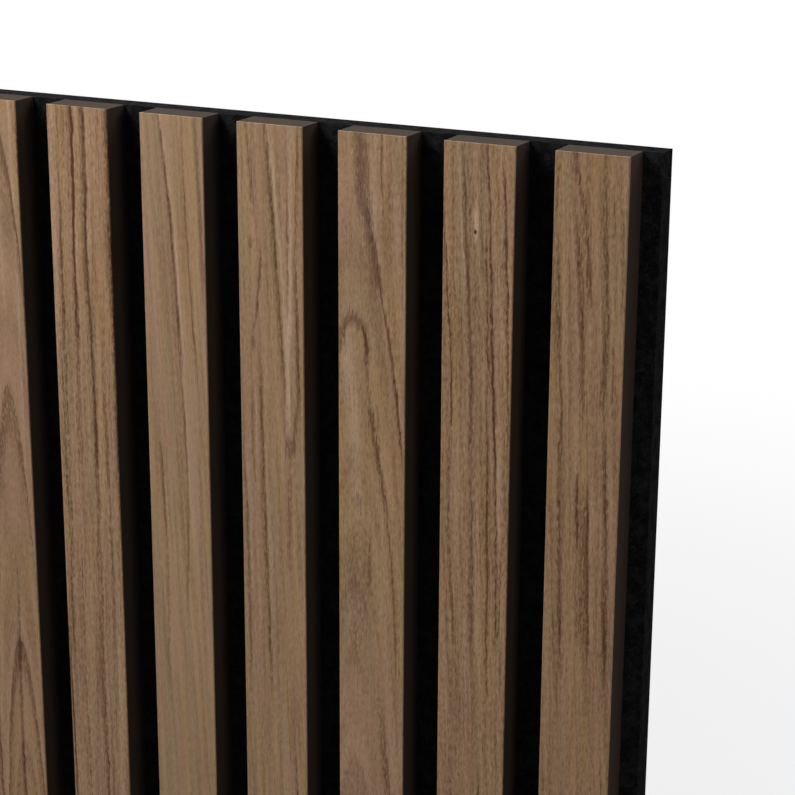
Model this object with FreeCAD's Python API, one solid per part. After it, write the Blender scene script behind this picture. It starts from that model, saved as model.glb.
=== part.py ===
import FreeCAD, Part
import math
import os

# Acoustic slat wall panel: a black felt sheet that carries a row of upright black fibreboard slats,
# each with a walnut veneer on its front, all held from behind by wire staples. Millimetres.
# Frame: +Z runs up the slats, the slats face -Y, and the origin is the middle of the back face,
# which lies on the wall at Y = 0.

# Panel
PANEL_LENGTH = 600.0
SLAT_COUNT = 15
SLAT_PITCH = 40.0

# Slats
SLAT_WIDTH = 26.0
CORE_THICKNESS = 11.4
VENEER_THICKNESS = 0.6
VENEER_EDGE_RADIUS = 0.3

# Felt backing
FELT_THICKNESS = 9.0

# Wire staples, driven from the back through the felt into each slat
STAPLE_CROWN_WIDTH = 11.0
STAPLE_BITE = 7.4
STAPLE_WIRE_THICKNESS = 0.8
STAPLE_WIRE_WIDTH = 1.2
STAPLE_BEND_CUT = 0.4
STAPLE_POINT_LENGTH = 1.0
STAPLE_CROWN_DEPTH = 0.4
STAPLE_CLEARANCE = 0.05
STAPLE_END_DISTANCE = 30.0
STAPLE_ROW_SPACING = 180.0

# Places that follow from the sizes above
PANEL_WIDTH = SLAT_COUNT * SLAT_PITCH
BOTTOM_Z = -PANEL_LENGTH / 2
FELT_FRONT_Y = -FELT_THICKNESS
CORE_FRONT_Y = FELT_FRONT_Y - CORE_THICKNESS
VENEER_FRONT_Y = CORE_FRONT_Y - VENEER_THICKNESS
STAPLE_TIP_Y = FELT_FRONT_Y - STAPLE_BITE


def slat_centres():
    """X of each slat's middle, spread evenly about the middle of the panel."""
    first = -(SLAT_COUNT - 1) * SLAT_PITCH / 2
    return [first + index * SLAT_PITCH for index in range(SLAT_COUNT)]


def staple_rows():
    """Z of each row of staples, evenly spaced between the two end rows."""
    span = PANEL_LENGTH - 2 * STAPLE_END_DISTANCE
    gaps = max(1, round(span / STAPLE_ROW_SPACING))
    return [-span / 2 + index * span / gaps for index in range(gaps + 1)]


def prism(outline, bottom_z, height):
    """Upright solid from a closed outline drawn in the XY plane at Z = 0."""
    face = Part.Face(Part.Wire(outline))
    face.translate(FreeCAD.Vector(0, 0, bottom_z))
    return face.extrude(FreeCAD.Vector(0, 0, height))


def line(start, end):
    """Straight edge between two XY points."""
    return Part.LineSegment(FreeCAD.Vector(*start, 0), FreeCAD.Vector(*end, 0)).toShape()


def quarter_arc(centre, radius, start_angle):
    """Arc edge about an XY centre, 90 degrees anticlockwise from the start angle."""
    points = []
    for angle in (start_angle, start_angle + 45, start_angle + 90):
        turn = math.radians(angle)
        x = centre[0] + radius * math.cos(turn)
        y = centre[1] + radius * math.sin(turn)
        points.append(FreeCAD.Vector(x, y, 0))
    return Part.Arc(*points).toShape()


def slat_core(centre_x):
    """Square-edged fibreboard strip, glued to the front of the felt."""
    corner = FreeCAD.Vector(centre_x - SLAT_WIDTH / 2, CORE_FRONT_Y, BOTTOM_Z)
    return Part.makeBox(SLAT_WIDTH, CORE_THICKNESS, PANEL_LENGTH, corner)


def slat_veneer(centre_x):
    """Veneer leaf over the core's front, with its two long front edges eased."""
    left = centre_x - SLAT_WIDTH / 2
    right = centre_x + SLAT_WIDTH / 2
    radius = VENEER_EDGE_RADIUS
    front = VENEER_FRONT_Y
    outline = [
        line((right, CORE_FRONT_Y), (left, CORE_FRONT_Y)),
        line((left, CORE_FRONT_Y), (left, front + radius)),
        quarter_arc((left + radius, front + radius), radius, 180),
        line((left + radius, front), (right - radius, front)),
        quarter_arc((right - radius, front + radius), radius, 270),
        line((right, front + radius), (right, CORE_FRONT_Y)),
    ]
    return prism(outline, BOTTOM_Z, PANEL_LENGTH)


def staple(centre_x, row_z):
    """Bent wire staple with pointed legs, its crown across the slat and its bends pressed flat."""
    reach = STAPLE_CROWN_WIDTH / 2
    inside = reach - STAPLE_WIRE_THICKNESS
    crown_y = -STAPLE_CROWN_DEPTH
    inside_y = crown_y - STAPLE_WIRE_THICKNESS
    half_outline = [
        (reach - STAPLE_BEND_CUT, crown_y),
        (reach, crown_y - STAPLE_BEND_CUT),
        (reach, STAPLE_TIP_Y),
        (inside, STAPLE_TIP_Y + STAPLE_POINT_LENGTH),
        (inside, inside_y),
    ]
    outline = half_outline + [(-x, y) for x, y in reversed(half_outline)]
    corners = [FreeCAD.Vector(centre_x + x, y, 0) for x, y in outline]
    wire = Part.makePolygon(corners + corners[:1])
    return prism(wire, row_z - STAPLE_WIRE_WIDTH / 2, STAPLE_WIRE_WIDTH)


def staple_space(centre_x, row_z):
    """What a staple takes out of felt and slat: two leg holes, and a dent over its crown."""
    gap = STAPLE_CLEARANCE
    height = STAPLE_WIRE_WIDTH + 2 * gap
    bottom_z = row_z - height / 2
    left = centre_x - STAPLE_CROWN_WIDTH / 2 - gap
    crown_width = STAPLE_CROWN_WIDTH + 2 * gap
    dent_depth = STAPLE_CROWN_DEPTH + STAPLE_WIRE_THICKNESS + gap
    leg_width = STAPLE_WIRE_THICKNESS + 2 * gap
    hole_depth = gap - STAPLE_TIP_Y
    right_leg = left + crown_width - leg_width
    dent = Part.makeBox(crown_width, dent_depth, height, FreeCAD.Vector(left, -dent_depth, bottom_z))
    return dent.fuse([
        Part.makeBox(leg_width, hole_depth, height, FreeCAD.Vector(leg_left, -hole_depth, bottom_z))
        for leg_left in (left, right_leg)
    ])


def felt_backing(staple_spaces):
    """Felt sheet, half a groove wider than the outer slats at each side."""
    corner = FreeCAD.Vector(-PANEL_WIDTH / 2, FELT_FRONT_Y, BOTTOM_Z)
    sheet = Part.makeBox(PANEL_WIDTH, FELT_THICKNESS, PANEL_LENGTH, corner)
    return sheet.cut(staple_spaces)


def write_node(name, shape):
    """One file for each sub-part."""
    shape.exportStep(os.path.join("parts", name + ".step"))


def main():
    os.makedirs("parts", exist_ok=True)
    staples = []
    staple_spaces = []
    for index, centre_x in enumerate(slat_centres(), start=1):
        spaces = [staple_space(centre_x, row_z) for row_z in staple_rows()]
        staples += [staple(centre_x, row_z) for row_z in staple_rows()]
        staple_spaces += spaces
        write_node(f"slat_core_{index:02d}", slat_core(centre_x).cut(spaces))
        write_node(f"slat_veneer_{index:02d}", slat_veneer(centre_x))
    write_node("felt_backing", felt_backing(staple_spaces))
    write_node("back_staples", Part.makeCompound(staples))


main()
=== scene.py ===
import math
import random

import bpy
from mathutils import Euler, Matrix, Vector


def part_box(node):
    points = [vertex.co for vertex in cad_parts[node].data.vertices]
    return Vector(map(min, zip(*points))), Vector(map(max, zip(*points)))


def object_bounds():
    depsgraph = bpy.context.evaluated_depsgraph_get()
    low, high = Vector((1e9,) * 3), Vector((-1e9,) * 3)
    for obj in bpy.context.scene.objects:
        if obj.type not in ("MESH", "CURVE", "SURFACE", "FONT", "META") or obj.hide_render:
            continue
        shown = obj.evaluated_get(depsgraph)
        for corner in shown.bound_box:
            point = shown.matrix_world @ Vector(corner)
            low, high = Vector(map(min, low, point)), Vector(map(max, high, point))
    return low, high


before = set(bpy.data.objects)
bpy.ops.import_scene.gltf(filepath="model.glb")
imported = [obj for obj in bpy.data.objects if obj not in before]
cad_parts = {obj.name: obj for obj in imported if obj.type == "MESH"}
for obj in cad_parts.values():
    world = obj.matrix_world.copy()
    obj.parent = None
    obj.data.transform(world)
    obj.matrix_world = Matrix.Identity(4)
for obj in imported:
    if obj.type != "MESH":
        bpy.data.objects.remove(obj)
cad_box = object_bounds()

# Acoustic slat wall panel. Everything is in metres in the panel's own frame: +Z runs up the slats,
# the slats face -Y, and the wall is at Y = 0. Materials measure in millimetres: across a slat from
# its left edge, and down it from its top end.

# Camera, in the photograph's frame of 795 by 795 pixels
PHOTO_SIDE_PIXELS = 795
FOCAL_LENGTH_PIXELS = 2167.5
SENSOR_WIDTH_MM = 36.0
CAMERA_PLACE = (0.5270, -0.6728, 0.4297)
CAMERA_TURN_LEFT = math.radians(25.92)
CAMERA_LOOK_DOWN = math.radians(17.02)
CAMERA_ROLL = math.radians(0.29)

# What the lamps point at: the part of the panel that the camera sees
LIT_POINT = Vector((0.12, 0.0, 0.25))

# Floor, and its share of white as a smooth step over the millimetres from the panel's middle
FLOOR_RADIUS = 9.0
FLOOR_SIDES = 64
FLOOR_WHITENESS = (400.0, 1800.0, 0.5, 1.0)

MM = 0.001
SLAT_WIDTH_MM = 26.0
SLAT_LENGTH_MM = 600.0
SLAT_COUNT = 15

# Colours
WHITE = (1.0, 1.0, 1.0)
FLOOR_GREY = (0.60, 0.60, 0.60)
FIBREBOARD_DARK = (0.020, 0.0130, 0.0095)
FIBREBOARD_LIGHT = (0.055, 0.038, 0.028)
FELT_DARK = (0.0050, 0.0050, 0.0050)
FELT_LIGHT = (0.034, 0.034, 0.035)
STEEL_DULL = (0.42, 0.42, 0.41)
STEEL_BRIGHT = (0.68, 0.68, 0.66)

# Wood colours: three tints of the ground, then its dark lines, its plum lines and its pale streaks
WALNUT_OCHRE = (0.258, 0.154, 0.072)
WALNUT_OLIVE = (0.226, 0.144, 0.077)
WALNUT_ROSE = (0.250, 0.145, 0.083)
WALNUT_DARK = (0.056, 0.018, 0.003)
WALNUT_PLUM = (0.066, 0.036, 0.031)
WALNUT_PALE = (0.400, 0.276, 0.180)

# How strongly, and how deep in metres, each surface is textured
WOOD_BUMP = (0.6, 0.00008)
FIBREBOARD_BUMP = (0.5, 0.00008)
FELT_BUMP = (0.9, 0.0003)

# A grain line across its middle, in its own widths: where each part starts and is full, and where it
# begins to fade and ends
LINE_PROFILE = (-1.3, 0.0, 0.0, 0.7)
SHADE_PROFILE = (-4.5, 0.0, -0.2, 0.5)
PALE_EDGE_PROFILE = (0.5, 1.2, 1.2, 3.0)

# The same along a grain line, in shares of its length
LINE_FADES = (0.0, 0.25, 0.75, 1.0)

# The middle of a spot that has its full strength, in shares of its reach, and how far above and below
# its foot an arch fades
SPOT_FULL_WITHIN = 0.3
ARCH_FOOT_FADE_MM = 4.0

# Growth rings: how many lie in a millimetre, how unevenly, how far down they take over from what the
# photograph shows, and the parts of one ring, from 0 to 1 through it
RINGS_PER_MM = 0.42
RING_UNEVENNESS = 3.0
RINGS_TAKE_OVER_MM = 40.0
RING_LINE_PROFILE = (0.60, 0.93, 0.93, 1.0)
RING_SHADE_PROFILE = (0.10, 0.93, 0.93, 1.0)
RING_PALE_EDGE_PROFILE = (0.0, 0.05, 0.05, 0.35)

# Noise drawn out along a slat: its cells per millimetre across and down, its layer and its detail
SWAY = (0.03, 0.011, 1, 2.0)
SHAKE = (0.30, 0.10, 2, 4.0)
ZONES = (0.24, 0.006, 3, 3.0)
OTHER_ZONES = (0.30, 0.007, 4, 3.0)
VEINS = (0.60, 0.014, 5, 4.0)
FIBRES = (3.4, 0.45, 6, 2.0)
CHATTER = (1.4, 0.38, 7, 4.0)
RING_SHIFT = (0.14, 0.001, 10, 2.0)
RING_PATCHES = (0.40, 0.006, 11, 2.0)
HAIRS = (1.7, 0.045, 12, 3.0)
WAXING = (0.25, 0.035, 13, 3.0)
RAGGED_ENDS = (2.0, 0.05, 14, 3.0)
NOISE_ROUGHNESS = 0.6

# Pores: their cells per millimetre across and down, how far askew they lie, and their layer
SMALL_PORES = (1.7, 0.42, 0.10, 8)
LARGE_PORES = (0.9, 0.17, 0.07, 9)

# How far a pore reaches, in cells, where nothing opens it further, and how far the lines open it
SMALL_PORE_REACH = 0.40
LARGE_PORE_REACH = 0.36
PORES_OPENED_BY_LINES = 0.6

# How far apart the noise of two slats and of two layers lies, in cells, so that none are alike
CELLS_BETWEEN_SLATS = 17.3
CELLS_BETWEEN_LAYERS = 5.7

# How far the grain shakes on a smooth slat, what coarseness adds, and how far fibre ends differ
SHAKE_MM = 0.7
COARSE_SHAKE_MM = 0.8
RAGGED_ENDS_MM = 14.0

# Smooth steps in the wood: where in a noise each begins and ends, and what it leads from and to
OLIVE_TINT = (0.42, 0.58, 0.0, 1.0)
ROSE_TINT = (0.46, 0.60, 0.0, 1.0)
LINES_WAXING = (0.35, 0.65, 0.65, 1.25)
LINES_STREAKY = (0.30, 0.70, 0.55, 1.35)
RINGS_PATCHY = (0.35, 0.65, 0.25, 0.85)
PORES_OPENED_BY_VEINS = (0.45, 0.72, 0.0, 0.25)
PORES_OPENED_BY_CHATTER = (0.35, 0.65, -0.15, 0.05)
WOOD_ROUGHNESS = (0.2, 0.8, 0.50, 0.62)

# The wood's relief: how high its fibres stand, and the smooth step up out of a pore, over its cell
FIBRE_HEIGHT = 0.4
PORE_DENTS = (0.0, 0.35, 0.5, 0.0)

# Marks that a noise leaves: where in it each begins and is full, how strong it is on a smooth slat, and
# what coarseness adds
DARK_VEINS = (0.46, 0.68, 0.12, 0.05)
PALE_VEINS = (0.48, 0.29, 0.12, 0.05)
DARK_HAIRS = (0.48, 0.72, 0.0, 0.15)
PALE_HAIRS = (0.50, 0.28, 0.0, 0.16)
DARK_CHATTER = (0.48, 0.75, 0.0, 0.20)
PALE_CHATTER = (0.50, 0.28, 0.0, 0.20)
PALE_FIBRES = (0.45, 0.75, 0.0, 0.20)

# How strongly the lines and the pores colour the wood
LINE_DARKNESS = 0.45
SHADE_DARKNESS = 0.13
PLUM_STRENGTH = 0.70
PALE_STRENGTH = 0.60
PALE_EDGE_STRENGTH = 0.17
PORE_DARKNESS = 0.10
COARSE_PORE_DARKNESS = 0.11
PORE_DARKNESS_IN_LINES = 0.24

# Noise in the other materials, in cells per millimetre along X, Y and Z
FIBREBOARD_SPECKS = (5.0, 5.0, 5.0)
FIBREBOARD_SAW_MARKS = (0.4, 3.0, 0.05)
FELT_CLOUDS = (0.22, 0.3, 0.22)
STEEL_SCRATCHES = (0.8, 0.8, 9.0)

# Felt fibres: their cells per millimetre along them, beside them and through the sheet, which ways they
# lie in it, in radians, and how far apart their noise is, in cells
FELT_FIBRES = (0.35, 5.0, 4.0)
FELT_FIBRE_TURNS = (0.2, 1.1, 1.9, 2.8)
CELLS_BETWEEN_FELT_FIBRES = 31.0

# Smooth steps in the other materials, as in the wood
SPECK_LIGHT = (0.45, 0.85, 0.0, 0.5)
SAW_MARK_LIGHT = (0.4, 0.8, 0.0, 0.2)
FELT_FIBRE_LIGHT = (0.58, 0.85, 0.0, 1.0)
FELT_CLOUD_LIGHT = (0.35, 0.65, -0.10, 0.20)
STEEL_ROUGHNESS = (0.2, 0.8, 0.28, 0.50)


class Graph:
    """Short calls for building a node tree."""

    def __init__(self, tree):
        self.tree = tree

    def feed(self, socket, value):
        """Link a socket, or set its value."""
        if isinstance(value, bpy.types.NodeSocket):
            self.tree.links.new(value, socket)
        else:
            socket.default_value = value

    def node(self, kind, inputs=None, **settings):
        """New node with its settings, and its inputs by name or number."""
        made = self.tree.nodes.new(kind)
        for name, value in settings.items():
            setattr(made, name, value)
        for name, value in (inputs or {}).items():
            self.feed(made.inputs[name], value)
        return made

    def math(self, operation, first, second=0.0, clamp=False):
        inputs = {0: first, 1: second}
        return self.node("ShaderNodeMath", inputs, operation=operation, use_clamp=clamp).outputs[0]

    def add(self, first, second):
        return self.math("ADD", first, second)

    def subtract(self, first, second):
        return self.math("SUBTRACT", first, second)

    def times(self, first, second):
        return self.math("MULTIPLY", first, second)

    def share_of_all(self, values):
        """Sum of several values, kept between 0 and 1."""
        total = values[0]
        for value in values[1:-1]:
            total = self.add(total, value)
        return self.math("ADD", total, values[-1], clamp=True)

    def length(self, first, second):
        """Length of a line that goes so far one way, and so far square to it."""
        return self.math("SQRT", self.add(self.times(first, first), self.times(second, second)))

    def smooth(self, value, low, high, to_low=0.0, to_high=1.0):
        """Smooth step of a value between two limits.

        The step itself stays between them. The node's own clamp stays off, because it adds a node to
        each step, and the slats' materials then grow too large to render.
        """
        inputs = {"Value": value, "From Min": low, "From Max": high, "To Min": to_low, "To Max": to_high}
        made = self.node("ShaderNodeMapRange", inputs, interpolation_type="SMOOTHSTEP", clamp=False)
        return made.outputs[0]

    def hump(self, value, profile):
        """Smooth step up to 1 and down again, over a profile of four limits."""
        start, full, fading, end = profile
        return self.times(self.smooth(value, start, full), self.smooth(value, fading, end, 1.0, 0.0))

    def point(self, x, y, z):
        return self.node("ShaderNodeCombineXYZ", {0: x, 1: y, 2: z}).outputs[0]

    def noise(self, x, y, z=0.0, detail=2.0, roughness=0.5, flat=False):
        """Noise from 0 to 1 about 0.5, at a point given in its own cells."""
        inputs = {"Vector": self.point(x, y, z), "Scale": 1.0, "Detail": detail, "Roughness": roughness}
        return self.node("ShaderNodeTexNoise", inputs, noise_dimensions="2D" if flat else "3D").outputs[0]

    def noise_in(self, place, per_mm, detail=2.0, roughness=0.5):
        """Noise at a place in millimetres, with its cells per millimetre along X, Y and Z."""
        cells = [self.times(distance, scale) for distance, scale in zip(place, per_mm)]
        return self.noise(*cells, detail, roughness)

    def dots(self, x, y):
        """Distance from the nearest of many scattered dots, about one to a cell."""
        inputs = {"Vector": self.point(x, y, 0.0), "Scale": 1.0}
        return self.node("ShaderNodeTexVoronoi", inputs, voronoi_dimensions="2D").outputs["Distance"]

    def mix(self, share, first, second, blend="MIX"):
        """Mix of two colours."""
        made = self.node("ShaderNodeMix", data_type="RGBA", blend_type=blend)
        first_socket, second_socket = [socket for socket in made.inputs if socket.type == "RGBA"]
        self.feed(made.inputs[0], share)
        self.feed(first_socket, first)
        self.feed(second_socket, second)
        return [socket for socket in made.outputs if socket.type == "RGBA"][0]


def colour(rgb):
    return (*rgb, 1.0)


def new_group(name, inputs, outputs):
    """Empty node group of number sockets: its graph, what it is given and what it makes."""
    tree = bpy.data.node_groups.new(name, "ShaderNodeTree")
    for label in inputs:
        tree.interface.new_socket(label, in_out="INPUT", socket_type="NodeSocketFloat")
    for label in outputs:
        tree.interface.new_socket(label, in_out="OUTPUT", socket_type="NodeSocketFloat")
    graph = Graph(tree)
    start = graph.node("NodeGroupInput")
    end = graph.node("NodeGroupOutput")
    return graph, start.outputs, end.inputs


# What each line of the grain is given by, in order
LINE_LABELS = ("From across", "From down", "To across", "To down", "Bow", "Width", "Strength")


def make_streak_group():
    """One line of the grain: how strongly it colours a point, from 0 to its strength.

    It runs from one place across and down the slat to another, and bows between them. A soft shade
    lies along one side of it, and a pale edge along its other, sharp side.
    """
    parts = {"Line": LINE_PROFILE, "Shade": SHADE_PROFILE, "Pale edge": PALE_EDGE_PROFILE}
    labels = ["Across", "Down", *LINE_LABELS]
    graph, given, made = new_group("grain line", labels, parts)
    run = graph.subtract(given["To down"], given["From down"])
    along = graph.math("DIVIDE", graph.subtract(given["Down"], given["From down"]), run)
    sideways = graph.times(graph.subtract(given["To across"], given["From across"]), along)
    # The bow is full halfway along, where the product of the two shares is a quarter
    bow_shape = graph.times(graph.times(along, graph.subtract(1.0, along)), 4.0)
    bow = graph.times(given["Bow"], bow_shape)
    middle = graph.add(given["From across"], graph.add(sideways, bow))
    reach = graph.math("DIVIDE", graph.subtract(given["Across"], middle), given["Width"])
    strength = graph.times(graph.hump(along, LINE_FADES), given["Strength"])
    for name, profile in parts.items():
        graph.feed(made[name], graph.times(graph.hump(reach, profile), strength))
    return graph.tree


class Slat:
    """How one slat's veneer was cut, and what shows in its grain, all in millimetres.

    tone: red, green and blue, against the other slats; on the shown slats partly painted shade, darker to
    the right
    dark, plum, pale: lines as LINE_LABELS says, with their sharp side on the right, or on the left if
        the width is negative
    arches: (kind, across, foot down, half width, height, band, strength)
    spots: (kind, across, down, half width, half height, strength)
    seen_to: how far down these reach, before strewn lines and growth rings take over
    coarse: how strongly its pores show
    pith: where across the slat the middle of the growth rings lies
    depth, taper: how deep that middle lies at the top end, and how fast it comes nearer going down
    wander: how far the lines sway
    lean: how fast the fine grain drifts to the right going down
    growth: how strongly its growth rings show
    """

    def __init__(self, number, tone, dark=(), plum=(), pale=(), arches=(), spots=(), seen_to=-80.0,
                 coarse=1.0, pith=60.0, depth=20.0, taper=0.0, wander=0.4, lean=0.0, growth=0.0):
        self.number = number
        self.tone = tone
        self.lines = {"dark": list(dark), "plum": list(plum), "pale": list(pale)}
        self.arches = arches
        self.spots = spots
        self.seen_to = seen_to
        self.coarse = coarse
        self.pith = pith
        self.depth = depth
        self.taper = taper
        self.wander = wander
        self.lean = lean
        self.growth = growth


# Lines strewn where the photograph shows nothing: the kind, how many on a whole slat, the least and
# the greatest width in millimetres, and the least and the greatest strength
STREWN_LINES = (
    ("dark", 18, 0.7, 1.7, 0.35, 0.85),
    ("plum", 3, 0.9, 2.0, 0.30, 0.70),
    ("pale", 8, 0.7, 2.6, 0.25, 0.70),
)

# How long these lines are, how far they bow, how far they drift across for each millimetre down, and
# how far above the bottom end the lowest of them start
STREWN_SHORTEST_MM = 110.0
STREWN_LONGEST_MM = 280.0
STREWN_BOW_MM = 1.3
STREWN_DRIFT = 0.015
STREWN_CLEAR_OF_BOTTOM_MM = 60.0

# The share of strewn lines that full growth rings stand in for
RINGS_FOR_LINES = 0.6

# What an unseen slat's shade, its green and blue against that shade, its coarseness and its lean are
# drawn between, and how far its lines sway
UNSEEN_SHADES = (0.90, 1.03)
UNSEEN_GREENS = (0.97, 1.00)
UNSEEN_BLUES = (0.95, 1.04)
UNSEEN_COARSENESS = (0.5, 1.1)
UNSEEN_LEANS = (-0.04, 0.04)
UNSEEN_WANDER = 1.2

# What the random draws start from
GRAIN_SEED = 2

# Unseen slats that are cut flat, so that their growth rings show as tall arches
FLAT_CUT_SLATS = (2, 6, 9)
FLAT_CUT_PITHS_MM = (6.0, 20.0)
FLAT_CUT_TAPERS = (0.022, 0.034)
FLAT_CUT_DEPTH_MM = 26.0
FLAT_CUT_GROWTH = 0.7
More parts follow.
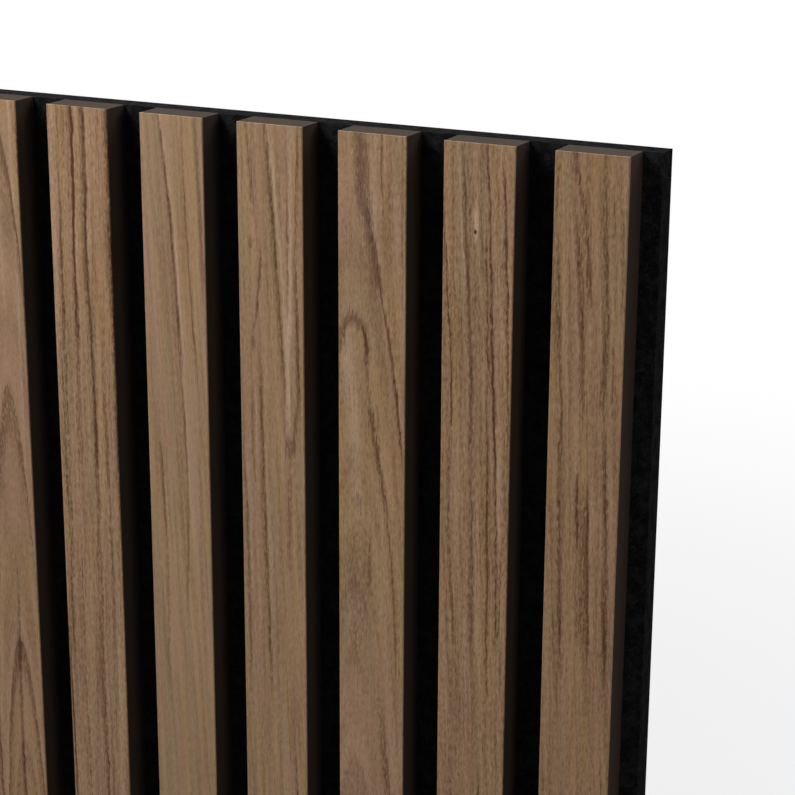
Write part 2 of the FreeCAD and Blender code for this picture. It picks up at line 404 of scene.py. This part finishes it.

# The slats that the photograph shows, the last five from left to right, with the main marks of their
# grain. Their colour multipliers are partly painted shade: darker and browner towards the right, where
# the key lamp's light and sheen fall off
SHOWN_SLATS = [
    Slat(
        11, (1.00, 1.03, 1.08),
        dark=[
            (5.0, -20, 15.5, 105, 2.0, 1.1, 0.70),
            (14.5, 85, 14.5, 200, 2.0, 1.0, 0.50),
            (17.0, -25, 23.5, 115, -1.5, 0.7, 0.45),
            (4.5, 105, 6.0, 230, 1.5, 0.9, 0.50),
            (8.0, 25, 15.0, 180, 2.0, 3.0, 0.20),
            (22.5, 110, 23.5, 220, -1.0, 0.8, 0.25),
        ],
        plum=[
            (22.5, -15, 26.0, 70, 0.0, 1.3, 0.60),
        ],
        pale=[
            (5.5, -20, 16.5, 105, 2.5, 0.8, 0.50),
            (16.0, 85, 19.5, 170, -0.5, 0.9, 0.45),
            (20.5, 110, 22.0, 220, -0.5, 2.6, 0.20),
            (9.0, 120, 10.5, 215, 0.0, 2.2, 0.20),
        ],
        coarse=0.4, lean=0.05, seen_to=200.0,
    ),
    Slat(
        12, (0.975, 0.99, 1.01),
        dark=[
            (9.5, -25, 19.5, 115, 0.5, 1.3, 0.60),
            (9.0, 40, 4.5, 80, 1.5, 0.9, 0.60),
            (8.5, 70, 13.0, 230, -1.0, 1.3, 0.65),
            (0.0, 100, 2.5, 225, 1.0, 1.0, 0.50),
            (4.5, 95, 6.0, 135, -0.5, 0.8, 0.35),
            (26.0, -20, 24.0, 95, -2.0, -1.2, 0.50),
            (23.0, 75, 21.0, 120, 1.5, -1.4, 0.50),
            (19.5, 20, 19.5, 65, 0.5, 0.5, 0.45),
            (20.5, 115, 19.0, 170, 0.5, 1.6, 0.30),
        ],
        plum=[
            (3.0, -5, 6.5, 35, 0.5, 1.1, 0.60),
        ],
        pale=[
            (20.5, -20, 20.0, 85, 1.0, 1.1, 0.80),
            (21.0, 60, 20.0, 115, -0.5, 1.9, 1.00),
            (9.0, -20, 19.0, 95, 2.5, 1.0, 0.65),
            (6.0, 95, 6.5, 140, 0.0, 0.9, 0.40),
            (12.0, 125, 15.0, 200, -1.0, 1.6, 0.25),
            (25.0, 105, 24.5, 210, 0.5, 1.6, 0.25),
        ],
        spots=[
            ("plum", 5.0, 43, 1.0, 4.0, 0.60),
            ("plum", 5.5, 79, 1.3, 5.0, 0.60),
            ("plum", 24.0, 71, 1.3, 7.0, 0.45),
            ("plum", 20.5, 117, 3.0, 6.0, 0.60),
        ],
        coarse=0.7, lean=0.03, seen_to=195.0,
    ),
    Slat(
        13, (0.98, 0.985, 0.995),
        dark=[
            (14.5, 45, 25.5, 125, 2.0, 0.9, 0.85),
            (12.5, 95, 20.0, 140, 0.0, 1.7, 0.70),
            (18.0, 125, 23.0, 205, 1.5, 1.0, 0.55),
            (15.5, 95, 16.5, 120, 0.0, 0.8, 0.35),
            (10.5, 65, 14.0, 110, -0.5, 1.4, 0.45),
            (16.5, -10, 17.0, 25, 0.0, 0.8, 0.40),
            (20.5, 15, 21.0, 50, 0.0, 1.6, 0.20),
            (12.5, 140, 12.0, 170, 0.5, 1.2, 0.35),
            (6.0, 135, 7.0, 200, 0.0, 3.6, 0.25),
            (10.0, 135, 10.0, 200, 0.5, 3.6, 0.20),
            (24.0, -15, 25.0, 70, 0.5, 0.8, 0.35),
        ],
        plum=[
            (8.5, -5, 10.0, 30, -0.5, 3.2, 0.85),
            (10.0, -5, 13.5, 35, -0.5, 2.4, 0.50),
            (9.5, 20, 18.0, 60, 0.0, 3.0, 1.00),
            (0.5, 80, 1.0, 90, 0.0, 1.2, 0.30),
        ],
        pale=[
            (15.0, -5, 15.5, 35, -1.0, 2.2, 0.40),
            (15.5, -10, 17.0, 35, 0.0, 0.5, 0.60),
            (2.5, 65, 8.0, 145, 1.5, 4.2, 0.80),
            (15.5, 120, 20.0, 185, 0.0, 3.0, 0.25),
        ],
        arches=[
            ("dark", 6.0, 80, 5.5, 14.0, 0.26, 0.55),
            ("plum", 6.0, 80, 6.0, 15.0, 0.30, 0.30),
        ],
        spots=[
            ("plum", 7.5, 133, 3.0, 3.5, 0.30),
            ("pale", 7.0, 170, 7.0, 24.0, 0.40),
        ],
        coarse=0.8, pith=6.0, depth=40.0, taper=0.036, growth=0.6, seen_to=185.0,
    ),
    Slat(
        14, (0.93, 0.905, 0.89),
        dark=[
            (-0.5, 15, 4.5, 115, 1.0, 0.7, 0.75),
            (15.0, -15, 19.0, 65, 0.5, 0.8, 0.65),
            (18.5, 45, 21.5, 120, -0.5, 1.0, 0.85),
            (16.0, 25, 18.0, 90, 0.0, 0.9, 0.60),
            (17.0, 70, 19.5, 215, 0.0, 0.9, 0.60),
            (21.5, 0, 25.0, 70, 0.5, 1.1, 0.65),
            (20.5, 100, 22.0, 190, 0.5, 0.8, 0.60),
            (24.5, 55, 25.5, 120, 0.0, 0.8, 0.45),
            (24.0, 130, 22.0, 190, 0.5, 0.8, 0.40),
            (8.5, 30, 11.5, 80, 0.0, 1.0, 0.30),
            (10.0, -10, 10.5, 35, -0.5, 1.2, 0.25),
        ],
        plum=[
            (6.5, -10, 12.5, 100, 0.0, 1.3, 0.55),
            (3.5, 100, 8.5, 195, -2.0, 1.2, 0.60),
            (10.5, 70, 11.5, 110, 0.5, 1.2, 0.60),
            (11.5, 90, 13.5, 190, 0.0, 1.4, 0.65),
        ],
        pale=[
            (4.0, -15, 10.5, 65, -0.5, 0.7, 0.55),
            (20.5, -10, 22.5, 45, 0.0, 0.8, 0.60),
            (22.5, 45, 23.5, 75, 0.0, 1.0, 0.50),
            (12.5, 95, 17.0, 200, -0.5, 2.2, 0.40),
            (22.0, 105, 23.0, 145, 0.0, 1.0, 0.45),
            (6.0, 95, 8.0, 155, -0.5, 1.8, 0.25),
        ],
        spots=[
            ("pale", 12.0, 27, 1.6, 8.5, 2.00),
            ("dark", 12.0, 30, 0.7, 1.0, 2.50),
        ],
        coarse=1.2, lean=0.035, seen_to=180.0,
    ),
    Slat(
        15, (0.90, 0.875, 0.85),
        dark=[
            (4.0, -15, 14.5, 60, 2.0, 1.6, 0.55),
            (8.0, 15, 12.5, 100, 1.0, 1.5, 0.55),
            (11.0, 105, 12.0, 140, 0.0, 0.9, 0.65),
            (18.0, -15, 21.5, 65, -1.0, 1.2, 0.55),
            (20.5, 50, 19.5, 90, 0.0, 1.9, 0.55),
            (1.5, 20, 4.5, 90, 0.0, 1.2, 0.55),
            (4.5, 70, 8.0, 200, -1.0, 1.3, 0.60),
            (15.0, 110, 17.5, 185, 0.0, 0.9, 0.65),
            (22.5, 60, 23.0, 85, 0.0, 0.7, 0.50),
            (2.0, -5, 1.0, 25, 0.0, 1.0, 0.35),
            (20.0, 10, 21.0, 30, 1.0, 0.8, 0.35),
            (13.5, 105, 14.5, 180, 0.5, 3.4, 0.40),
            (19.5, 80, 23.5, 200, 1.0, 1.5, 0.55),
        ],
        plum=[
            (25.0, 15, 25.5, 55, 0.0, 0.8, 0.40),
            (19.5, 80, 23.5, 200, 1.0, 1.8, 0.25),
        ],
        pale=[
            (6.0, 15, 11.0, 85, 1.0, 1.5, 0.45),
            (11.0, 70, 9.0, 135, 0.5, 1.6, 0.40),
            (4.5, -10, 6.5, 30, -0.5, 2.0, 0.25),
            (18.0, 85, 20.0, 145, 0.0, 1.5, 0.25),
        ],
        coarse=1.0, lean=0.04, seen_to=170.0,
    ),
]


def unseen_slat(number, dice):
    """A slat that the photograph doesn't show, cut from the same kind of log."""
    shade = dice.uniform(*UNSEEN_SHADES)
    tone = (shade, shade * dice.uniform(*UNSEEN_GREENS), shade * dice.uniform(*UNSEEN_BLUES))
    coarse = dice.uniform(*UNSEEN_COARSENESS)
    if number in FLAT_CUT_SLATS:
        pith = dice.uniform(*FLAT_CUT_PITHS_MM)
        taper = dice.uniform(*FLAT_CUT_TAPERS)
        return Slat(number, tone, coarse=coarse, pith=pith, depth=FLAT_CUT_DEPTH_MM, taper=taper,
                    growth=FLAT_CUT_GROWTH)
    lean = dice.uniform(*UNSEEN_LEANS)
    return Slat(number, tone, coarse=coarse, lean=lean, wander=UNSEEN_WANDER)


def strew_lines(slat, dice):
    """Add lines at random to the part of a slat that the photograph doesn't show."""
    unseen = (SLAT_LENGTH_MM - slat.seen_to) / SLAT_LENGTH_MM
    share = unseen * (1.0 - RINGS_FOR_LINES * slat.growth)
    for kind, in_whole_slat, thin, thick, faint, strong in STREWN_LINES:
        count = round(in_whole_slat * share)
        for index in range(count):
            down = dice.uniform(slat.seen_to, SLAT_LENGTH_MM - STREWN_CLEAR_OF_BOTTOM_MM)
            length = dice.uniform(STREWN_SHORTEST_MM, STREWN_LONGEST_MM)
            across = SLAT_WIDTH_MM * (index + dice.random()) / count - slat.lean * length / 2
            drift = (slat.lean + dice.uniform(-STREWN_DRIFT, STREWN_DRIFT)) * length
            bow = dice.uniform(-STREWN_BOW_MM, STREWN_BOW_MM)
            width = dice.uniform(thin, thick)
            strength = dice.uniform(faint, strong)
            slat.lines[kind].append((across, down, across + drift, down + length, bow, width, strength))


def object_place(graph):
    """X, Y and Z of the shaded point in the panel's frame, in millimetres."""
    place = graph.node("ShaderNodeTexCoord").outputs["Object"]
    split = graph.node("ShaderNodeSeparateXYZ", {0: place})
    return [graph.times(split.outputs[axis], 1.0 / MM) for axis in range(3)]


def new_material(name):
    """Material with one Principled shader: the material, its graph and the shader."""
    material = bpy.data.materials.new(name)
    material.use_nodes = True
    return material, Graph(material.node_tree), material.node_tree.nodes["Principled BSDF"]


def add_bump(graph, shader, height, bump):
    """Texture a surface by a height of about 0 to 1."""
    strength, depth = bump
    made = graph.node("ShaderNodeBump", {"Height": height, "Strength": strength, "Distance": depth})
    graph.feed(shader.inputs["Normal"], made.outputs[0])


class Wood:
    """Where the shaded point lies in one slat's wood, and what the wood is like there.

    straight: across the slat, in millimetres
    down: down the slat
    across: as straight, but it sways and shakes as the grain does
    ragged: as down, but each fibre ends higher or lower than the next, which feathers what slants
    leaning: as across, less the drift of the fine grain
    ring: outward through the growth rings
    vein, hair, chatter, fibre: noise, from the broadest to the finest
    waxing, streaky: how the lines grow stronger and weaker
    small_pores: distance from the nearest small pore
    """

    def __init__(self, graph, slat):
        low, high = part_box(f"slat_veneer_{slat.number:02d}")
        x, _, z = object_place(graph)
        self.graph = graph
        self.slat = slat
        self.straight = graph.subtract(x, low.x / MM)
        self.down = graph.subtract(high.z / MM, z)
        sway = self.shift(SWAY, 2.0 * slat.wander)
        shake = self.shift(SHAKE, SHAKE_MM + COARSE_SHAKE_MM * slat.coarse)
        self.across = graph.add(self.straight, graph.add(sway, shake))
        self.ragged = graph.add(self.down, self.shift(RAGGED_ENDS, RAGGED_ENDS_MM))
        self.leaning = graph.subtract(self.across, graph.times(self.down, slat.lean))
        self.ring = self.through_rings()
        self.vein = self.drawn(self.ring, VEINS)
        self.hair = self.drawn(self.leaning, HAIRS)
        self.chatter = self.drawn(self.across, CHATTER)
        self.fibre = self.drawn(self.straight, FIBRES)
        self.waxing = graph.smooth(self.drawn(self.leaning, WAXING), *LINES_WAXING)
        self.streaky = graph.times(graph.smooth(self.chatter, *LINES_STREAKY), self.waxing)
        self.small_pores = self.pores(SMALL_PORES)

    def start_of(self, layer):
        """Where a layer of noise starts on this slat, in cells."""
        return CELLS_BETWEEN_SLATS * self.slat.number + CELLS_BETWEEN_LAYERS * layer

    def drawn(self, place, noise):
        """Noise drawn out along the slat."""
        per_across, per_down, layer, detail = noise
        beside = self.graph.times(place, per_across)
        along = self.graph.add(self.graph.times(self.down, per_down), self.start_of(layer))
        return self.graph.noise(beside, along, detail=detail, roughness=NOISE_ROUGHNESS, flat=True)

    def shift(self, noise, reach):
        """Shift by up to half a reach either way."""
        return self.graph.times(self.graph.subtract(self.drawn(self.straight, noise), 0.5), reach)

    def mark(self, noise, limits):
        """How strongly a noise marks the wood."""
        begins, full, strength, coarse_strength = limits
        return self.graph.smooth(noise, begins, full, 0.0, strength + coarse_strength * self.slat.coarse)

    def pores(self, kind):
        """Distance from the nearest pore."""
        per_across, per_down, slant, layer = kind
        askew = self.graph.add(self.across, self.graph.times(self.down, slant))
        along = self.graph.add(self.graph.times(self.down, per_down), self.start_of(layer))
        return self.graph.dots(self.graph.times(askew, per_across), along)

    def through_rings(self):
        """Distance from the pith, less its depth under the slat's top end."""
        beside = self.graph.subtract(self.leaning, self.slat.pith)
        beneath = self.graph.subtract(self.slat.depth, self.graph.times(self.down, self.slat.taper))
        return self.graph.subtract(self.graph.length(beside, beneath), self.slat.depth)


class Grain:
    """Adds up what the lines, arches, spots and growth rings do to the wood at a point."""

    def __init__(self, wood, streak_group):
        self.wood = wood
        self.graph = wood.graph
        self.streak_group = streak_group
        self.total = {"dark": 0.0, "plum": 0.0, "pale": 0.0, "shade": 0.0, "edge": 0.0}
        for kind, lines in wood.slat.lines.items():
            for line in lines:
                self.put_line(kind, line)
        for arch in wood.slat.arches:
            self.put_arch(*arch)
        for spot in wood.slat.spots:
            self.put_spot(*spot)
        if wood.slat.growth > 0.0:
            self.put_growth_rings()

    def put(self, kind, amount):
        self.total[kind] = self.graph.add(self.total[kind], amount)

    def put_line(self, kind, line):
        streak = self.graph.node("ShaderNodeGroup", node_tree=self.streak_group)
        place = {"Across": self.wood.across, "Down": self.wood.ragged}
        for label, value in {**place, **dict(zip(LINE_LABELS, line))}.items():
            self.graph.feed(streak.inputs[label], value)
        self.put(kind, streak.outputs["Line"])
        if kind == "dark":
            self.put("shade", streak.outputs["Shade"])
            self.put("edge", streak.outputs["Pale edge"])

    def round_distance(self, beside, half_width, below, half_height):
        """Distance from the middle of a round thing, 1 at its outline."""
        wide = self.graph.math("DIVIDE", beside, half_width)
        high = self.graph.math("DIVIDE", below, half_height)
        return self.graph.length(wide, high)

    def put_spot(self, kind, across, down, half_width, half_height, strength):
        beside = self.graph.subtract(self.wood.straight, across)
        below = self.graph.subtract(self.wood.down, down)
        distance = self.round_distance(beside, half_width, below, half_height)
        self.put(kind, self.graph.smooth(distance, SPOT_FULL_WITHIN, 1.0, strength, 0.0))

    def put_arch(self, kind, across, foot_down, half_width, height, band, strength):
        graph = self.graph
        beside = graph.subtract(self.wood.across, across)
        below = graph.subtract(self.wood.ragged, foot_down)
        distance = self.round_distance(beside, half_width, below, height)
        off_outline = graph.math("ABSOLUTE", graph.subtract(distance, 1.0))
        outline = graph.smooth(off_outline, 0.0, band, strength, 0.0)
        above_foot = graph.smooth(below, -ARCH_FOOT_FADE_MM, ARCH_FOOT_FADE_MM, 1.0, 0.0)
        self.put(kind, graph.times(outline, above_foot))

    def put_growth_rings(self):
        graph = self.graph
        wood = self.wood
        seen_to = wood.slat.seen_to
        uneven = graph.times(wood.drawn(wood.ring, RING_SHIFT), RING_UNEVENNESS)
        through_ring = graph.math("FRACT", graph.add(graph.times(wood.ring, RINGS_PER_MM), uneven))
        taken_over = graph.smooth(wood.down, seen_to, seen_to + RINGS_TAKE_OVER_MM, 0.0, wood.slat.growth)
        patchy = graph.smooth(wood.drawn(wood.ring, RING_PATCHES), *RINGS_PATCHY)
        strength = graph.times(patchy, taken_over)
        self.put("dark", graph.times(graph.hump(through_ring, RING_LINE_PROFILE), strength))
        self.put("shade", graph.times(graph.hump(through_ring, RING_SHADE_PROFILE), strength))
        self.put("edge", graph.times(graph.hump(through_ring, RING_PALE_EDGE_PROFILE), strength))


def pitting(wood, grain):
    """How much the open pores darken the wood, most of all along its lines."""
    graph = wood.graph
    lines = graph.add(grain.total["dark"], grain.total["plum"])
    in_veins = graph.smooth(wood.vein, *PORES_OPENED_BY_VEINS)
    opened = graph.add(graph.times(lines, PORES_OPENED_BY_LINES), in_veins)
    opened = graph.add(opened, graph.smooth(wood.chatter, *PORES_OPENED_BY_CHATTER))
    from_small = graph.subtract(wood.small_pores, opened)
    from_large = graph.subtract(wood.pores(LARGE_PORES), opened)
    small = graph.smooth(from_small, 0.0, SMALL_PORE_REACH, 1.0, 0.0)
    large = graph.smooth(from_large, 0.0, LARGE_PORE_REACH, 1.0, 0.0)
    everywhere = PORE_DARKNESS + COARSE_PORE_DARKNESS * wood.slat.coarse
    darkness = graph.add(graph.times(lines, PORE_DARKNESS_IN_LINES), everywhere)
    return graph.times(graph.math("MAXIMUM", small, large), darkness)


def darkening(wood, grain):
    """Share of the dark colour."""
    graph = wood.graph
    return graph.share_of_all([
        graph.times(grain.total["dark"], graph.times(wood.streaky, LINE_DARKNESS)),
        pitting(wood, grain),
        graph.times(grain.total["shade"], SHADE_DARKNESS),
        wood.mark(wood.vein, DARK_VEINS),
        wood.mark(wood.hair, DARK_HAIRS),
        wood.mark(wood.chatter, DARK_CHATTER),
    ])


def reddening(wood, grain):
    """Share of the plum colour."""
    graph = wood.graph
    strength = graph.times(wood.streaky, PLUM_STRENGTH)
    return graph.math("MULTIPLY", grain.total["plum"], strength, clamp=True)


def paling(wood, grain):
    """Share of the pale colour."""
    graph = wood.graph
    return graph.share_of_all([
        graph.times(grain.total["pale"], PALE_STRENGTH),
        wood.mark(wood.vein, PALE_VEINS),
        graph.times(grain.total["edge"], graph.times(wood.waxing, PALE_EDGE_STRENGTH)),
        wood.mark(wood.hair, PALE_HAIRS),
        wood.mark(wood.chatter, PALE_CHATTER),
        wood.mark(wood.fibre, PALE_FIBRES),
    ])


def walnut(slat, streak_group):
    """Oiled walnut veneer of one slat."""
    material, graph, shader = new_material(f"walnut_veneer_{slat.number:02d}")
    wood = Wood(graph, slat)
    grain = Grain(wood, streak_group)
    olive = graph.smooth(wood.drawn(wood.ring, ZONES), *OLIVE_TINT)
    rose = graph.smooth(wood.drawn(wood.ring, OTHER_ZONES), *ROSE_TINT)
    tint = graph.mix(olive, colour(WALNUT_OCHRE), colour(WALNUT_OLIVE))
    tint = graph.mix(rose, tint, colour(WALNUT_ROSE))
    tint = graph.mix(paling(wood, grain), tint, colour(WALNUT_PALE))
    tint = graph.mix(reddening(wood, grain), tint, colour(WALNUT_PLUM))
    tint = graph.mix(darkening(wood, grain), tint, colour(WALNUT_DARK))
    # Multiply by the slat's own colour; on the shown slats this is partly painted shade, darker and
    # browner towards the right
    tint = graph.mix(1.0, tint, colour(slat.tone), "MULTIPLY")
    graph.feed(shader.inputs["Base Color"], tint)
    graph.feed(shader.inputs["Roughness"], graph.smooth(wood.fibre, *WOOD_ROUGHNESS))
    shader.inputs["Specular IOR Level"].default_value = 0.2
    dents = graph.smooth(wood.small_pores, *PORE_DENTS)
    add_bump(graph, shader, graph.subtract(graph.times(wood.fibre, FIBRE_HEIGHT), dents), WOOD_BUMP)
    return material


def black_fibreboard():
    """Dyed fibreboard: fine felted specks, and faint saw marks along its cut sides."""
    material, graph, shader = new_material("black_fibreboard")
    place = object_place(graph)
    speck = graph.noise_in(place, FIBREBOARD_SPECKS, detail=3.0, roughness=0.7)
    saw = graph.noise_in(place, FIBREBOARD_SAW_MARKS)
    light = graph.add(graph.smooth(speck, *SPECK_LIGHT), graph.smooth(saw, *SAW_MARK_LIGHT))
    dyed = graph.mix(light, colour(FIBREBOARD_DARK), colour(FIBREBOARD_LIGHT))
    graph.feed(shader.inputs["Base Color"], dyed)
    shader.inputs["Roughness"].default_value = 0.8
    shader.inputs["Specular IOR Level"].default_value = 0.06
    add_bump(graph, shader, speck, FIBREBOARD_BUMP)
    return material


def felt_fibres(graph, place):
    """Noise of fibres that lie every way in the sheet and hardly across it."""
    x, y, z = place
    per_along, per_beside, per_through = FELT_FIBRES
    layers = []
    for number, turn in enumerate(FELT_FIBRE_TURNS):
        along = graph.add(graph.times(x, math.cos(turn)), graph.times(z, math.sin(turn)))
        beside = graph.subtract(graph.times(z, math.cos(turn)), graph.times(x, math.sin(turn)))
        through = graph.add(graph.times(y, per_through), CELLS_BETWEEN_FELT_FIBRES * number)
        cells = (graph.times(along, per_along), graph.times(beside, per_beside), through)
        layers.append(graph.noise(*cells, detail=1.0))
    fibres = layers[0]
    for layer in layers[1:]:
        fibres = graph.math("MAXIMUM", fibres, layer)
    return fibres


def black_felt():
    """Needled felt of dyed fibres, a little cloudy."""
    material, graph, shader = new_material("black_felt")
    place = object_place(graph)
    fibres = felt_fibres(graph, place)
    cloud = graph.noise_in(place, FELT_CLOUDS, detail=5.0, roughness=0.7)
    light = graph.share_of_all([
        graph.smooth(fibres, *FELT_FIBRE_LIGHT),
        graph.smooth(cloud, *FELT_CLOUD_LIGHT),
    ])
    graph.feed(shader.inputs["Base Color"], graph.mix(light, colour(FELT_DARK), colour(FELT_LIGHT)))
    shader.inputs["Roughness"].default_value = 1.0
    shader.inputs["Specular IOR Level"].default_value = 0.0
    add_bump(graph, shader, fibres, FELT_BUMP)
    return material


def staple_steel():
    """Galvanised wire, with faint marks across it."""
    material, graph, shader = new_material("staple_wire")
    scratch = graph.noise_in(object_place(graph), STEEL_SCRATCHES)
    graph.feed(shader.inputs["Base Color"], graph.mix(scratch, colour(STEEL_DULL), colour(STEEL_BRIGHT)))
    graph.feed(shader.inputs["Roughness"], graph.smooth(scratch, *STEEL_ROUGHNESS))
    shader.inputs["Metallic"].default_value = 1.0
    return material


def finish_node(node, material):
    """Give a CAD node one material in place of its own."""
    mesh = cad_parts[node].data
    mesh.materials.clear()
    mesh.materials.append(material)


def finish_panel():
    """Materials for every node, each slat's veneer with a grain of its own."""
    dice = random.Random(GRAIN_SEED)
    unseen_count = SLAT_COUNT - len(SHOWN_SLATS)
    slats = [unseen_slat(number, dice) for number in range(1, unseen_count + 1)]
    streak_group = make_streak_group()
    fibreboard = black_fibreboard()
    for slat in slats + SHOWN_SLATS:
        strew_lines(slat, dice)
        finish_node(f"slat_veneer_{slat.number:02d}", walnut(slat, streak_group))
        finish_node(f"slat_core_{slat.number:02d}", fibreboard)
    finish_node("felt_backing", black_felt())
    finish_node("back_staples", staple_steel())


def seen_rays(graph):
    """1 for rays that show a background: straight, mirrored or through glass."""
    path = graph.node("ShaderNodeLightPath").outputs
    seen = graph.math("MAXIMUM", path["Is Camera Ray"], path["Is Glossy Ray"])
    return graph.math("MAXIMUM", seen, path["Is Transmission Ray"])


def make_world(ambient):
    """White to look at, and a little even light."""
    world = bpy.data.worlds.new("studio")
    world.use_nodes = True
    bpy.context.scene.world = world
    graph = Graph(world.node_tree)
    background = world.node_tree.nodes["Background"]
    background.inputs["Color"].default_value = colour(WHITE)
    graph.feed(background.inputs["Strength"], graph.smooth(seen_rays(graph), 0.0, 1.0, ambient, 1.0))


def floor_mesh(height):
    """Round floor at a height."""
    mesh = bpy.data.meshes.new("floor")
    rim = []
    for side in range(FLOOR_SIDES):
        turn = 2 * math.pi * side / FLOOR_SIDES
        rim.append((FLOOR_RADIUS * math.cos(turn), FLOOR_RADIUS * math.sin(turn), height))
    mesh.from_pydata(rim, [], [list(range(FLOOR_SIDES))])
    return mesh


def floor_material():
    """Pale and matt, and turning into the white background further out."""
    material, graph, shader = new_material("floor")
    x, y, _ = object_place(graph)
    shader.inputs["Base Color"].default_value = colour(FLOOR_GREY)
    shader.inputs["Roughness"].default_value = 0.9
    shader.inputs["Specular IOR Level"].default_value = 0.1
    white = graph.node("ShaderNodeEmission", {"Color": colour(WHITE), "Strength": 1.0})
    share = graph.times(graph.smooth(graph.length(x, y), *FLOOR_WHITENESS), seen_rays(graph))
    both = graph.node("ShaderNodeMixShader", {0: share, 1: shader.outputs[0], 2: white.outputs[0]})
    graph.feed(material.node_tree.nodes["Material Output"].inputs["Surface"], both.outputs[0])
    return material


def make_floor(height):
    mesh = floor_mesh(height)
    mesh.materials.append(floor_material())
    floor = bpy.data.objects.new("floor", mesh)
    bpy.context.scene.collection.objects.link(floor)


def make_lamp(name, around, above, distance, size, power):
    """Square soft box that faces the panel; around is degrees to the right of straight in front."""
    turn = math.radians(around)
    rise = math.radians(above)
    outward = Vector((math.sin(turn) * math.cos(rise), -math.cos(turn) * math.cos(rise), math.sin(rise)))
    light = bpy.data.lights.new(name, "AREA")
    light.shape = "SQUARE"
    light.size = size
    light.energy = power
    lamp = bpy.data.objects.new(name, light)
    bpy.context.scene.collection.objects.link(lamp)
    lamp.location = LIT_POINT + outward * distance
    lamp.rotation_euler = outward.to_track_quat("Z", "Y").to_euler()


def make_camera():
    """Camera at the photograph's viewing angle."""
    data = bpy.data.cameras.new("camera")
    data.sensor_width = SENSOR_WIDTH_MM
    data.lens = FOCAL_LENGTH_PIXELS / PHOTO_SIDE_PIXELS * SENSOR_WIDTH_MM
    data.clip_start = 0.01
    data.clip_end = 50.0
    camera = bpy.data.objects.new("camera", data)
    bpy.context.scene.collection.objects.link(camera)
    aim = Euler((math.pi / 2 - CAMERA_LOOK_DOWN, 0.0, CAMERA_TURN_LEFT)).to_matrix()
    turned = aim @ Matrix.Rotation(CAMERA_ROLL, 3, "Z")
    camera.matrix_world = Matrix.Translation(CAMERA_PLACE) @ turned.to_4x4()
    bpy.context.scene.camera = camera


make_camera()
make_world(ambient=0.04)
make_lamp("key_lamp", around=-52.0, above=49.0, distance=0.78, size=0.40, power=13.0)
make_lamp("side_lamp", around=60.0, above=10.0, distance=1.6, size=0.45, power=6.5)
make_lamp("back_lamp", around=160.0, above=45.0, distance=2.0, size=1.2, power=42.0)
make_floor(cad_box[0].z)
finish_panel()
bpy.context.scene.view_settings.view_transform = "Standard"
